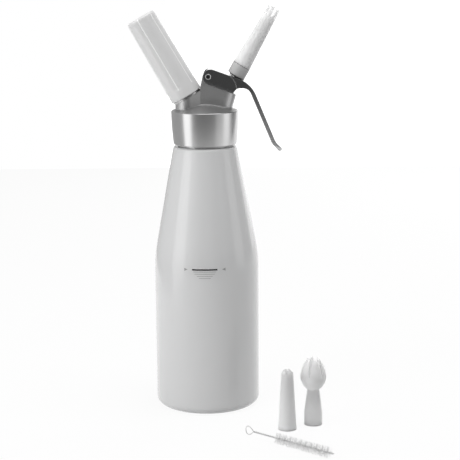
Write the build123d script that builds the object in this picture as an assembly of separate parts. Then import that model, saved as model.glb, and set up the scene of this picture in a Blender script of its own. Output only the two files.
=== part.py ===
from build123d import *
import os
from math import acos, atan2, cos, degrees, hypot, radians, sin, sqrt, tan

# Cream whipper: a painted aluminium bottle with a screwed-on metal head. One port of the head
# takes a gas charger in its holder, the other has a lever-worked valve with a nozzle on it.
# Millimetres, +Z up, the origin at the middle of the bottle's base, -Y the front.
# Two spare nozzles and a cleaning brush stand on the same surface beside the bottle.

# Clearances
CLEAR = 0.3  # between pieces that come apart or move past each other
SLIP = 0.05  # radial, round a pin or a guided stem
SEATED = 0.02  # radial, round what is screwed or pressed in for good
PAST = 1.0  # how far a cut runs on past the face that it opens
THREAD_SUNK = 0.25  # of every thread's rib below its root
THREAD_ROOT_SHARE = 0.6  # of the pitch, the rib's width at its root
THREAD_CREST_SHARE = 0.24

# Bottle
BODY_RADIUS = 49.2
BASE_ROUNDING = 7.2
BODY_STRAIGHT_TOP = 131.0
BODY_ARC_RADIUS = 150.0
SHOULDER_HEIGHT = 248.5
SHOULDER_ROUNDING = 3.0
SHOULDER_STEP = 4.0  # the shoulder stands out past the neck's thread by this much
SHOULDER_WALL = 2.2
BOTTLE_WALL = 1.5
NECK_BORE_RADIUS = 22.0
NECK_WALL = 2.4
NECK_LENGTH = 24.5
NECK_THREAD_DEPTH = 1.3
NECK_THREAD_PITCH = 5.0
NECK_THREAD_TURNS = 3.0
NECK_THREAD_START = 4.0  # above the shoulder
LIP_ROUNDING = 0.9

# Head casting
SKIRT_GAP = 1.6
SKIRT_HEIGHT = 31.4
SKIRT_WALL = 3.6
SKIRT_FLARE = 1.9
SKIRT_BELLY = 0.35
SKIRT_THREAD_DEPTH = 1.0
SKIRT_THREAD_START = 5.0  # above the skirt's foot
RIM_CHAMFER = 0.7
FOOT_CHAMFER = 0.8
DOME_RISE = 8.5
GASKET_THICKNESS = 2.7
CROWN_RECESS_RADIUS = 18.0
CROWN_RECESS_DEPTH = 5.0
PORT_TILT = 30.0  # of both ports' axes from the vertical
PORT_CROSSING_DEPTH = 18.5  # below the rim, where the outlet's axis starts on the bottle's
INLET_RISE = 3.0  # of the inlet's start above the outlet's
WEB_HALF_WIDTH = 9.6
WEB_LEFT = 1.9  # left of the bottle's axis
WEB_FOOT_ROUNDING = 2.0
BOSS_LEAN = 16.4  # of the outlet boss's round end from the vertical

# Outlet port and its valve: heights along the outlet's axis, from its start on the bottle's
OUTLET_TOP = 42.6
OUTLET_TOP_RADIUS = 9.0
SEAT_HEIGHT = 24.0
SEAT_POCKET_RADIUS = 7.0
WET_CHAMBER_RADIUS = 4.4
WET_CHAMBER_LENGTH = 4.5
GUIDE_LENGTH = 5.5
SPINDLE_RADIUS = 3.25
SPINDLE_BORE_RADIUS = 1.7
SPINDLE_FOOT_RADIUS = 6.0
SPINDLE_FOOT_THICKNESS = 1.3
SPINDLE_NOSE_RADIUS = 2.4
SPINDLE_NOSE_LENGTH = 1.2
SPINDLE_PORT_RADIUS = 1.4
COLLAR_THICKNESS = 1.1
SEAL_RADIUS = 6.3
SEAL_THICKNESS = 1.9
O_RING_SECTION = 0.8
BONNET_ACROSS_FLATS = 12.0
BONNET_HEIGHT = 6.4
BONNET_ROOF = 1.6
BONNET_SPIGOT_LENGTH = 4.6
BONNET_SPIGOT_RADIUS = 6.0
SPRING_CHAMBER_RADIUS = 5.1
VALVE_WIRE = 0.9
VALVE_SPRING_RADIUS = 4.2
VALVE_SPRING_TURNS = 5.0

# Nozzle adapter and the fitted nozzle
ADAPTER_RADIUS = 8.45
ADAPTER_HEIGHT = 10.6
ADAPTER_CHAMFER = 0.6
ADAPTER_THREAD_LENGTH = 5.7
RING_RADIUS = 6.25
RING_THICKNESS = 1.0
RING_GAP = 0.4  # above the lever
STUD_ROOT_RADIUS = 4.2
STUD_THREAD_DEPTH = 0.7
STUD_THREAD_PITCH = 2.2
STUD_LENGTH = 7.2
STAR_LENGTH = 61.1
STAR_BASE_RADIUS = 8.45
STAR_TIP_RADIUS = 5.9
STAR_TIP_WALL = 1.3
STAR_SLOT_FLOOR_WIDTH = 3.8
STAR_SLOT_TOP_WIDTH = 4.7
STAR_SLOT_DEPTH = 9.2
STAR_SLOT_COUNT = 5
STAR_SLOT_TURN = 4.0  # of one slot from the front

# Lever, in a frame of its own: ahead along it from the pivot, and up square to that
PIVOT_OFFSET = 22.2  # from the outlet axis
PIVOT_RISE = 2.9  # above the outlet boss
PRESS_ANGLE = 10.0  # down to where the lever lies square to the outlet axis
CHEEK_THICKNESS = 2.6
CHEEK_END_RADIUS = 7.15
CHEEK_END_AHEAD = 2.4
CHEEK_BOTTOM = 7.1  # below the pivot
CHEEK_LENGTH = 26.6
CHEEK_CORNER_ROUNDING = 1.0
PLATE_RISE = 0.35  # of the plate above the cheeks' round end
PLATE_THICKNESS = 3.0
PLATE_SEAT_SINK = 0.15
ARCH_START_AHEAD = 28.7
ARCH_START_DROP = 1.05
ARCH_ROUNDING = 5.0
HANDLE_KNEE_AHEAD = 39.2
HANDLE_DROP_ANGLE = 47.6
HANDLE_LENGTH = 60.2
HANDLE_CURL_ANGLE = 22.6
HANDLE_CURL_LENGTH = 8.6
HANDLE_THICKNESS = 3.8
HANDLE_KNEE_ROUNDING = 27.0
HANDLE_INNER_ROUNDING = 8.0
HANDLE_CURL_ROUNDING = 14.0
HANDLE_SIDE_STEP = 0.5  # the handle stands out past the cheeks on each side
HANDLE_SIDE_SWEEP = 4.2  # how far back the line between them bows
HANDLE_TIP_HALF_WIDTH = 8.0
HANDLE_TIP_ROUNDING = 5.0
HANDLE_EDGE_ROUNDING = 1.3
PIVOT_RADIUS = 2.1
PIVOT_EYE_RADIUS = 4.2
PIVOT_HEAD_RADIUS = 2.65
PIVOT_HEAD_CHAMFER = 0.4
PIVOT_HEAD_HEIGHT = 1.3
PIVOT_FLANGE_RADIUS = 4.0
PIVOT_SCREW_RADIUS = 1.3
PIVOT_SCREW_LENGTH = 9.0
HEX_KEY = 3.0
HEX_KEY_DEPTH = 0.9

# Inlet port: heights along the inlet's axis, from its start on the bottle's
INLET_BOSS_TOP = 32.0
INLET_BOSS_SETBACK = 0.5
INLET_FLANGE_THICKNESS = 1.6
INLET_FLANGE_SETBACK = 1.4
INLET_STUD_ROOT_RADIUS = 10.1
INLET_STUD_THREAD_DEPTH = 0.9
INLET_STUD_THREAD_PITCH = 2.6
INLET_STUD_LENGTH = 17.6
INLET_SOCKET_DEPTH = 6.0
INLET_CORE_RADIUS = 3.5
INLET_STEM_RADIUS = 5.5
INLET_STEM_END = 19.5
INLET_NUT_ACROSS_FLATS = 14.0
INLET_NUT_HEIGHT = 5.1
INLET_NUT_FLOOR = 2.0
CHECK_SEAT_HEIGHT = 27.0
CHECK_SEAT_LENGTH = 3.0
CHECK_SEAT_RADIUS = 1.7
CHECK_DISC_RADIUS = 2.9
CHECK_DISC_THICKNESS = 1.6
CHECK_STEM_RADIUS = 1.1
CHECK_STEM_LENGTH = 3.2
CHECK_WIRE = 0.5
CHECK_SPRING_RADIUS = 2.2
CHECK_SPRING_TURNS = 4.0
INLET_GASKET_THICKNESS = 2.1
PIN_FOOT_THICKNESS = 2.4
PIN_RADIUS = 0.75
PIN_REACH = 1.6  # into the charger
PIN_GAS_RADIUS = 0.3
PIN_TIP_RADIUS = 0.36

# Charger and its holder
CHARGER_LENGTH = 65.5
CHARGER_RADIUS = 8.8
CHARGER_NECK_RADIUS = 4.3
CHARGER_NECK_LENGTH = 9.0
CHARGER_SHOULDER_LENGTH = 8.6
CHARGER_WALL = 1.3
HOLDER_THREAD_WALL = 3.9
HOLDER_TAPER = 0.8  # of its radius, from the rim to the far end
HOLDER_BODY_WALL = 1.7
HOLDER_END_WALL = 4.0
HOLDER_END_ROUNDING = 2.5
HOLDER_RIB_WIDTH = 1.6
HOLDER_PANEL_COUNT = 6
HOLDER_PANEL_START = 9.0  # above the holder's rim
HOLDER_PANEL_DEPTH = 0.5
HOLDER_PANEL_TURN = -10.6  # of one ridge from the front

# Spare nozzles and brush, beside the bottle
STRAIGHT_X = 73.0
STRAIGHT_Y = -87.0
STRAIGHT_FOOT_RADIUS = 8.4
STRAIGHT_FOOT_HEIGHT = 3.0
STRAIGHT_FOOT_STEP = 0.5
STRAIGHT_LOW_RADIUS = 8.2
STRAIGHT_HIGH_RADIUS = 5.4
STRAIGHT_HEIGHT = 56.5
STRAIGHT_MOUTH_RADIUS = 1.6
STRAIGHT_SLIT_WIDTH = 1.0
STRAIGHT_SLIT_DEPTH = 4.6
STRAIGHT_SLIT_COUNT = 6
STRAIGHT_SLIT_TURN = 20.0
TULIP_X = 97.3
TULIP_Y = -73.8
TULIP_BASE_RADIUS = 8.3
TULIP_BASE_HEIGHT = 11.7
TULIP_NECK_RADIUS = 5.4
TULIP_NECK_HEIGHT = 33.4
TULIP_CUP_RADIUS = 9.5
TULIP_CUP_HEIGHT = 37.7
TULIP_CUP_SLOPE = 0.5  # where the bulb leaves the neck
TULIP_BULB_RADIUS = 11.8
TULIP_BULB_HEIGHT = 44.6
TULIP_PETAL_RADIUS = 10.1
TULIP_PETAL_HEIGHT = 53.6
TULIP_TIP_RADIUS = 5.9
TULIP_HEIGHT = 62.0
TULIP_SLOT_COUNT = 6
TULIP_SLOT_TURN = -21.0  # of one slot from the front
TULIP_SLOT_LOW = 46.0
TULIP_SLOT_MIDDLE = 50.0
TULIP_SLOT_MIDDLE_WIDTH = 1.8
TULIP_SLOT_HIGH = 58.0
TULIP_SLOT_HIGH_WIDTH = 2.6
TULIP_SLOT_TOP_WIDTH = 4.2
SPARE_WALL = 1.4
SPARE_SOCKET_DEPTH = 8.0
BRUSH_LOOP_X = 38.4
BRUSH_LOOP_Y = -107.0
BRUSH_ANGLE = -41.1  # of the stem, seen from above
BRUSH_LOOP_RADIUS = 3.5
BRUSH_WIRE_RADIUS = 0.8
BRUSH_REACH = 94.0  # from the loop's middle to the wire's tip
BRISTLE_RADIUS = 5.3
BRISTLE_START = 31.0
BRISTLE_LENGTH = 58.0

# Radii and heights that follow
NECK_ROOT_RADIUS = NECK_BORE_RADIUS + NECK_WALL
NECK_CREST_RADIUS = NECK_ROOT_RADIUS + NECK_THREAD_DEPTH
NECK_TOP = SHOULDER_HEIGHT + NECK_LENGTH
SHOULDER_RADIUS = NECK_CREST_RADIUS + SHOULDER_STEP
SKIRT_BORE_RADIUS = NECK_CREST_RADIUS + CLEAR
SKIRT_LOW_RADIUS = SKIRT_BORE_RADIUS + SKIRT_WALL
SKIRT_TOP_RADIUS = SKIRT_LOW_RADIUS + SKIRT_FLARE
SKIRT_LOW = SHOULDER_HEIGHT + SKIRT_GAP
RIM_HEIGHT = SKIRT_LOW + SKIRT_HEIGHT
CEILING = NECK_TOP + CLEAR + GASKET_THICKNESS
OUTLET_START = RIM_HEIGHT - PORT_CROSSING_DEPTH
INLET_START = OUTLET_START + INLET_RISE
CHEEK_INNER = WEB_HALF_WIDTH + CLEAR
CHEEK_OUTER = CHEEK_INNER + CHEEK_THICKNESS
PLATE_TOP = CHEEK_END_RADIUS + PLATE_RISE
WEB_FOOT = CEILING + CROWN_RECESS_DEPTH
BONNET_TOP = OUTLET_TOP + BONNET_HEIGHT
BONNET_LOW = OUTLET_TOP - BONNET_SPIGOT_LENGTH
GUIDE_LOW = SEAT_HEIGHT + WET_CHAMBER_LENGTH
GUIDE_TOP = GUIDE_LOW + GUIDE_LENGTH
GUIDE_RADIUS = SPINDLE_RADIUS + SLIP
COLLAR_TOP = BONNET_TOP - BONNET_ROOF - CLEAR
COLLAR_LOW = COLLAR_TOP - COLLAR_THICKNESS
PIVOT_HEIGHT = OUTLET_TOP + PIVOT_RISE
PRESS = radians(PRESS_ANGLE)
PLATE_SEAT = PIVOT_HEIGHT + (PLATE_TOP + PIVOT_OFFSET * sin(PRESS)) / cos(PRESS) - PLATE_SEAT_SINK
RING_LOW = PLATE_SEAT + RING_GAP
ADAPTER_LOW = RING_LOW + RING_THICKNESS
ADAPTER_TOP = ADAPTER_LOW + ADAPTER_HEIGHT
SPINDLE_TOP = ADAPTER_LOW + ADAPTER_THREAD_LENGTH
SEAL_LOW = SEAT_HEIGHT - CLEAR - SEAL_THICKNESS
FOOT_LOW = SEAL_LOW - SPINDLE_FOOT_THICKNESS
STUD_CREST_RADIUS = STUD_ROOT_RADIUS + STUD_THREAD_DEPTH
SOCKET_RADIUS = STUD_CREST_RADIUS + CLEAR  # of every nozzle
STAR_LOW = ADAPTER_TOP + CLEAR
INLET_CREST_RADIUS = INLET_STUD_ROOT_RADIUS + INLET_STUD_THREAD_DEPTH
HOLDER_RADIUS = INLET_CREST_RADIUS + CLEAR + HOLDER_THREAD_WALL
INLET_FLANGE_RADIUS = HOLDER_RADIUS - INLET_FLANGE_SETBACK
INLET_BOSS_RADIUS = INLET_FLANGE_RADIUS - INLET_BOSS_SETBACK
INLET_FLANGE_TOP = INLET_BOSS_TOP + INLET_FLANGE_THICKNESS
INLET_STUD_TOP = INLET_FLANGE_TOP + INLET_STUD_LENGTH
SOCKET_FLOOR = INLET_STUD_TOP - INLET_SOCKET_DEPTH
INLET_NUT_LOW = INLET_STEM_END - INLET_NUT_FLOOR
INLET_NUT_TOP = INLET_STEM_END + INLET_NUT_HEIGHT
CHARGER_MOUTH = SOCKET_FLOOR + INLET_GASKET_THICKNESS + CLEAR
CHARGER_END = CHARGER_MOUTH + CHARGER_LENGTH
HOLDER_LOW = INLET_FLANGE_TOP + CLEAR
HOLDER_FLOOR = CHARGER_END + CLEAR
HOLDER_TOP = HOLDER_FLOOR + HOLDER_END_WALL


def hex_corner(across_flats):
    """The corner radius of a hexagon of this width across its flats."""
    return across_flats / sqrt(3)


# Frames of the two ports and of the lever
TILT = radians(PORT_TILT)
SLOPE = radians(PORT_TILT - PRESS_ANGLE)
OUTLET = Plane((0, 0, OUTLET_START), x_dir=(cos(TILT), 0, -sin(TILT)), z_dir=(sin(TILT), 0, cos(TILT)))
INLET = Plane((0, 0, INLET_START), x_dir=(cos(TILT), 0, sin(TILT)), z_dir=(-sin(TILT), 0, cos(TILT)))
PIVOT = OUTLET.from_local_coords(Vector(-PIVOT_OFFSET, 0, PIVOT_HEIGHT))
LEVER = Plane(PIVOT, x_dir=(cos(SLOPE), 0, -sin(SLOPE)), z_dir=(sin(SLOPE), 0, cos(SLOPE)))


# Shapes that recur
def rod(radius, low, high):
    """A round bar along Z between two heights."""
    return Pos(0, 0, low) * Cylinder(radius, high - low, align=(Align.CENTER, Align.CENTER, Align.MIN))


def cone(low_radius, high_radius, low, high):
    """A round taper along Z between two heights."""
    placed = (Align.CENTER, Align.CENTER, Align.MIN)
    return Pos(0, 0, low) * Cone(low_radius, high_radius, high - low, align=placed)


def hexagon(across_flats, low, high):
    """A hexagonal bar along Z between two heights."""
    return extrude(Pos(0, 0, low) * RegularPolygon(hex_corner(across_flats), 6), high - low)


def turned(*edges):
    """The solid that an outline of (radius, height) edges turns out about Z."""
    return revolve(Plane.XZ * make_face(edges), Axis.Z)


def plate(outline, low_y, high_y):
    """An outline of XZ, as thick as from one Y to the other."""
    return Pos(0, high_y, 0) * extrude(Plane.XZ * outline, high_y - low_y)


def thread(root, depth, pitch, turns, low):
    """A blunt rib wound about Z, sunk a little below its root so that it joins a shaft."""
    path = Pos(0, 0, low) * Helix(pitch, pitch * turns, root)
    wide = pitch * THREAD_ROOT_SHARE / 2
    narrow = pitch * THREAD_CREST_SHARE / 2
    rib = Polyline((-THREAD_SUNK, -wide), (depth, -narrow), (depth, narrow), (-THREAD_SUNK, wide), close=True)
    start = Plane(path @ 0, x_dir=(1, 0, 0), z_dir=path % 0)
    return sweep(start * make_face(rib), path, is_frenet=True)


def spring(radius, wire, turns, low, high):
    """A round wire wound about Z from one seat to the other."""
    margin = wire / 2 + SEATED
    climb = high - low - 2 * margin
    path = Pos(0, 0, low + margin) * Helix(climb / turns, climb, radius)
    start = Plane(path @ 0, x_dir=(1, 0, 0), z_dir=path % 0)
    return sweep(start * Circle(wire / 2), path, is_frenet=True)


# Bottle
ARC_X = BODY_RADIUS - BODY_ARC_RADIUS
ARC_TO_SHOULDER = hypot(SHOULDER_RADIUS - ARC_X, SHOULDER_HEIGHT - BODY_STRAIGHT_TOP)
CONE_ANGLE = atan2(SHOULDER_HEIGHT - BODY_STRAIGHT_TOP, SHOULDER_RADIUS - ARC_X) - acos(
    BODY_ARC_RADIUS / ARC_TO_SHOULDER)


def body_solid(inset, top, top_rounding):
    """The bottle's body set in by a wall: rounded base, straight side, arc, cone, flat shoulder."""
    side = BODY_RADIUS - inset
    arc = BODY_ARC_RADIUS - inset
    turn = degrees(CONE_ANGLE)
    arc_end = (ARC_X + arc * cos(CONE_ANGLE), BODY_STRAIGHT_TOP + arc * sin(CONE_ANGLE))
    shoulder = (arc_end[0] - (top - arc_end[1]) * tan(CONE_ANGLE), top)
    base_centre = (BODY_RADIUS - BASE_ROUNDING, BASE_ROUNDING)
    outline = make_face([
        Line((0, top), (0, inset)),
        Line((0, inset), (base_centre[0], inset)),
        CenterArc(base_centre, BASE_ROUNDING - inset, -90, 90),
        Line((side, BASE_ROUNDING), (side, BODY_STRAIGHT_TOP)),
        CenterArc((ARC_X, BODY_STRAIGHT_TOP), arc, 0, turn),
        Line(arc_end, shoulder),
        Line(shoulder, (0, top)),
    ])
    corner = outline.vertices().sort_by_distance(shoulder)[0]
    return revolve(Plane.XZ * fillet(corner, top_rounding), Axis.Z)


def bottle():
    """The one-piece bottle: thin body, flat shoulder, and a neck with a coarse thread."""
    body = body_solid(0, SHOULDER_HEIGHT, SHOULDER_ROUNDING)
    body += rod(NECK_ROOT_RADIUS, SHOULDER_HEIGHT, NECK_TOP)
    body += thread(NECK_ROOT_RADIUS, NECK_THREAD_DEPTH, NECK_THREAD_PITCH, NECK_THREAD_TURNS,
                   SHOULDER_HEIGHT + NECK_THREAD_START)
    body -= body_solid(BOTTLE_WALL, SHOULDER_HEIGHT - SHOULDER_WALL, SHOULDER_ROUNDING)
    body -= rod(NECK_BORE_RADIUS, SHOULDER_HEIGHT - 2 * SHOULDER_WALL, NECK_TOP)
    lip = body.edges().filter_by(GeomType.CIRCLE).group_by(Axis.Z)[-1]
    return fillet(lip, LIP_ROUNDING)


# Head
def skirt_and_dome():
    """The turned part of the casting, solid: a slightly bellied skirt under a shallow dome."""
    foot = (SKIRT_LOW_RADIUS, SKIRT_LOW + FOOT_CHAMFER)
    rim = (SKIRT_TOP_RADIUS, RIM_HEIGHT - RIM_CHAMFER)
    middle = ((foot[0] + rim[0]) / 2 + SKIRT_BELLY, (foot[1] + rim[1]) / 2)
    return turned(
        Line((0, SKIRT_LOW), (SKIRT_LOW_RADIUS - FOOT_CHAMFER, SKIRT_LOW)),
        Line((SKIRT_LOW_RADIUS - FOOT_CHAMFER, SKIRT_LOW), foot),
        ThreePointArc(foot, middle, rim),
        Line(rim, (SKIRT_TOP_RADIUS - RIM_CHAMFER, RIM_HEIGHT)),
        Line((SKIRT_TOP_RADIUS - RIM_CHAMFER, RIM_HEIGHT), (0, RIM_HEIGHT + DOME_RISE)),
        Line((0, RIM_HEIGHT + DOME_RISE), (0, SKIRT_LOW)),
    )


def boss_line():
    """The top and the foot of the middle line of the outlet boss's half-round end."""
    lean = radians(BOSS_LEAN)
    half_round = WEB_HALF_WIDTH / cos(TILT - lean)
    top = OUTLET.from_local_coords(Vector(OUTLET_TOP_RADIUS - half_round, 0, OUTLET_TOP))
    return top, Vector(top.X - (top.Z - WEB_FOOT) * tan(lean), 0, WEB_FOOT)


def outlet_boss():
    """The outlet's boss: the web's leaning half-round end, cut off square to the port's axis."""
    lean = radians(BOSS_LEAN)
    foot = boss_line()[1]
    section = Pos(foot) * Ellipse(WEB_HALF_WIDTH / cos(lean), WEB_HALF_WIDTH)
    boss = extrude(section, PIVOT.Z - WEB_FOOT, dir=(sin(lean), 0, cos(lean)))
    above = Pos(0, 0, OUTLET_TOP + OUTLET_TOP / 2) * Box(4 * WEB_HALF_WIDTH, 4 * WEB_HALF_WIDTH, OUTLET_TOP)
    return boss - OUTLET.location * above


def holder_corner():
    """The point of the holder's rim that is nearest to the web."""
    return INLET.from_local_coords(Vector(HOLDER_RADIUS, 0, HOLDER_LOW))


def inlet_boss():
    """The inlet's boss: its round top, drawn out to the web, carried straight down to the dome."""
    reach = (holder_corner().X + INLET_BOSS_TOP * sin(TILT)) / cos(TILT)
    end = Line((reach, -WEB_HALF_WIDTH), (reach, WEB_HALF_WIDTH))
    top = make_hull([*Circle(INLET_BOSS_RADIUS).edges(), end])
    drop = INLET_BOSS_TOP * cos(TILT) + INLET_START - CEILING
    return extrude(INLET.location * (Pos(0, 0, INLET_BOSS_TOP) * top), drop, dir=(0, 0, -1))


def web():
    """The wall between the ports that rises to the lever's pivot."""
    corner = OUTLET.from_local_coords(Vector(-OUTLET_TOP_RADIUS, 0, OUTLET_TOP))
    holder = holder_corner()
    top, foot = boss_line()
    side = make_face(Polyline(
        (-WEB_LEFT, PIVOT.Z),
        (holder.X - CLEAR, holder.Z),
        (holder.X - CLEAR, WEB_FOOT),
        (foot.X, foot.Z),
        (top.X, top.Z),
        (corner.X, corner.Z),
        (PIVOT.X + PIVOT_EYE_RADIUS, PIVOT.Z),
        (PIVOT.X, PIVOT.Z + PIVOT_EYE_RADIUS),
        close=True,
    ))
    side += Pos(PIVOT.X, PIVOT.Z) * Circle(PIVOT_EYE_RADIUS)
    return plate(side, -WEB_HALF_WIDTH, WEB_HALF_WIDTH)


def head_bores():
    """All that is cut out of the casting: neck bore and thread, crown recess, ports and pivot hole."""
    cut = rod(SKIRT_BORE_RADIUS, SKIRT_LOW - PAST, CEILING)
    cut += thread(SKIRT_BORE_RADIUS, SKIRT_THREAD_DEPTH, NECK_THREAD_PITCH, NECK_THREAD_TURNS,
                  SKIRT_LOW + SKIRT_THREAD_START)
    cut += rod(CROWN_RECESS_RADIUS, SKIRT_LOW, CEILING + CROWN_RECESS_DEPTH)
    outlet = rod(SEAT_POCKET_RADIUS, SEAT_HEIGHT / 2, SEAT_HEIGHT)
    outlet += rod(WET_CHAMBER_RADIUS, SEAT_HEIGHT - PAST, GUIDE_LOW)
    outlet += rod(GUIDE_RADIUS, GUIDE_LOW - PAST, GUIDE_TOP)
    outlet += rod(SPRING_CHAMBER_RADIUS, GUIDE_TOP, BONNET_LOW)
    outlet += rod(BONNET_SPIGOT_RADIUS + SEATED, BONNET_LOW, OUTLET_TOP + PAST)
    nut_radius = hex_corner(INLET_NUT_ACROSS_FLATS) + 2 * CLEAR
    inlet = rod(nut_radius, 0, INLET_NUT_TOP)
    inlet += rod(INLET_STEM_RADIUS + SEATED, INLET_NUT_TOP - PAST, INLET_BOSS_TOP + PAST)
    inlet += rod(HOLDER_RADIUS + CLEAR, INLET_BOSS_TOP, INLET_STUD_TOP)
    pin = Pos(PIVOT.X, 0, PIVOT.Z) * Rot(90, 0, 0) * Cylinder(PIVOT_RADIUS + SEATED, 4 * WEB_HALF_WIDTH)
    return cut + OUTLET.location * outlet + INLET.location * inlet + pin


def round_foot(body):
    """The feet of the web and the outlet boss, rounded where they meet the dome."""
    low = body.edges().filter_by_position(Axis.Z, RIM_HEIGHT, RIM_HEIGHT + DOME_RISE, (False, False))
    front = low.filter_by_position(Axis.Y, -WEB_HALF_WIDTH - SLIP, -SLIP, (True, False))
    back = low.filter_by_position(Axis.Y, SLIP, WEB_HALF_WIDTH + SLIP, (False, True))
    feet = [edge for edge in front + back if edge.center().X > 0]
    return fillet(feet, WEB_FOOT_ROUNDING)


def head_casting():
    """The head: skirt, dome, both bosses and the web in one casting, bored from both sides."""
    body = skirt_and_dome() + inlet_boss() + outlet_boss() + web()
    return round_foot(body) - head_bores()


def head_gasket():
    """The flat ring that the bottle's lip seals against, under the ceiling of the skirt."""
    low = CEILING - GASKET_THICKNESS
    return rod(SKIRT_BORE_RADIUS - SLIP, low, CEILING) - rod(NECK_BORE_RADIUS, low, CEILING)


# Valve
def valve_bonnet():
    """The hexagonal cap screwed into the outlet boss: it guides the spindle and holds the spring."""
    cap = rod(BONNET_SPIGOT_RADIUS, BONNET_LOW, OUTLET_TOP)
    cap += Rot(0, 0, 30) * hexagon(BONNET_ACROSS_FLATS, OUTLET_TOP, BONNET_TOP)
    cap -= rod(SPRING_CHAMBER_RADIUS, BONNET_LOW, BONNET_TOP - BONNET_ROOF)
    return OUTLET.location * (cap - rod(GUIDE_RADIUS, BONNET_LOW, BONNET_TOP))


def valve_spindle():
    """The hollow stem: foot under the seat, side ports, O-ring groove, collar, threaded top."""
    stem = rod(SPINDLE_RADIUS, FOOT_LOW, SPINDLE_TOP)
    stem += rod(SPINDLE_FOOT_RADIUS, FOOT_LOW, SEAL_LOW)
    stem += rod(SPINDLE_NOSE_RADIUS, FOOT_LOW - SPINDLE_NOSE_LENGTH, FOOT_LOW)
    stem += rod(SPRING_CHAMBER_RADIUS - CLEAR, COLLAR_LOW, COLLAR_TOP)
    stem -= rod(SPINDLE_BORE_RADIUS, SEAT_HEIGHT, SPINDLE_TOP)
    port = Pos(0, 0, SEAT_HEIGHT + WET_CHAMBER_LENGTH / 2) * Rot(90, 0, 0)
    stem -= port * Cylinder(SPINDLE_PORT_RADIUS, 4 * SPINDLE_RADIUS)
    groove = O_RING_SECTION / 2 + SLIP
    ring_height = GUIDE_TOP - O_RING_SECTION
    outer = rod(2 * SPINDLE_RADIUS, ring_height - groove, ring_height + groove)
    inner = rod(GUIDE_RADIUS - SEATED - O_RING_SECTION, ring_height - groove, ring_height + groove)
    return OUTLET.location * (stem - (outer - inner))


def spindle_o_ring():
    """The O-ring in the spindle's groove, just inside the guide bore."""
    section = O_RING_SECTION / 2
    ring = Torus(GUIDE_RADIUS - SEATED - section, section)
    return OUTLET.location * Pos(0, 0, GUIDE_TOP - O_RING_SECTION) * ring


def valve_seal():
    """The soft washer on the spindle's foot that shuts the outlet."""
    top = SEAL_LOW + SEAL_THICKNESS
    washer = rod(SEAL_RADIUS, SEAL_LOW, top) - rod(SPINDLE_RADIUS + SEATED, SEAL_LOW, top)
    return OUTLET.location * washer


def valve_spring():
    """The spring that pushes the spindle's collar up and so keeps the outlet shut."""
    coil = spring(VALVE_SPRING_RADIUS, VALVE_WIRE, VALVE_SPRING_TURNS, GUIDE_TOP, COLLAR_LOW)
    return OUTLET.location * coil


def nozzle_adapter():
    """The turned sleeve on the spindle, with the threaded stud that every nozzle screws onto."""
    top = ADAPTER_TOP + STUD_LENGTH
    sleeve = rod(ADAPTER_RADIUS, ADAPTER_LOW, ADAPTER_TOP)
    sleeve = chamfer(sleeve.edges().group_by(Axis.Z)[0], ADAPTER_CHAMFER)
    stud = rod(STUD_ROOT_RADIUS, ADAPTER_TOP, top)
    start = ADAPTER_TOP + STUD_THREAD_PITCH
    stud += thread(STUD_ROOT_RADIUS, STUD_THREAD_DEPTH, STUD_THREAD_PITCH,
                   STUD_LENGTH / STUD_THREAD_PITCH - 2, start)
    sleeve += stud
    sleeve -= rod(SPINDLE_RADIUS + SEATED, ADAPTER_LOW, SPINDLE_TOP)
    return OUTLET.location * (sleeve - rod(SPINDLE_BORE_RADIUS, ADAPTER_LOW, top))


def adapter_ring():
    """The black ring under the adapter that the lever bears on."""
    ring = rod(RING_RADIUS, RING_LOW, ADAPTER_LOW) - rod(SPINDLE_RADIUS + SEATED, RING_LOW, ADAPTER_LOW)
    return OUTLET.location * ring


def star_nozzle():
    """The fitted nozzle: a long taper whose tip is a crown of pointed teeth."""
    top = STAR_LOW + STAR_LENGTH
    socket_top = STAR_LOW + STUD_LENGTH + 2 * CLEAR
    shell = cone(STAR_BASE_RADIUS, STAR_TIP_RADIUS, STAR_LOW, top)
    shell -= rod(SOCKET_RADIUS, STAR_LOW, socket_top)
    shell -= cone(SOCKET_RADIUS, STAR_TIP_RADIUS - STAR_TIP_WALL, socket_top, top)
    low = STAR_SLOT_FLOOR_WIDTH / 2
    high = STAR_SLOT_TOP_WIDTH / 2
    floor = top - STAR_SLOT_DEPTH + low
    slot = make_face(Polyline((-low, floor), (-high, top), (high, top), (low, floor), close=True))
    slot += Pos(0, floor) * Circle(low)
    cutter = plate(slot, -2 * STAR_BASE_RADIUS, 0)
    for turn in range(STAR_SLOT_COUNT):
        shell -= Rot(0, 0, STAR_SLOT_TURN + 360 / STAR_SLOT_COUNT * turn) * cutter
    return OUTLET.location * shell


# Lever
def handle_directions():
    """The lever-frame directions of the handle's drop and of its curled tip."""
    drop = radians(-HANDLE_DROP_ANGLE)
    curl = drop + radians(HANDLE_CURL_ANGLE)
    return Vector(cos(drop), sin(drop)), Vector(cos(curl), sin(curl))


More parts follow.
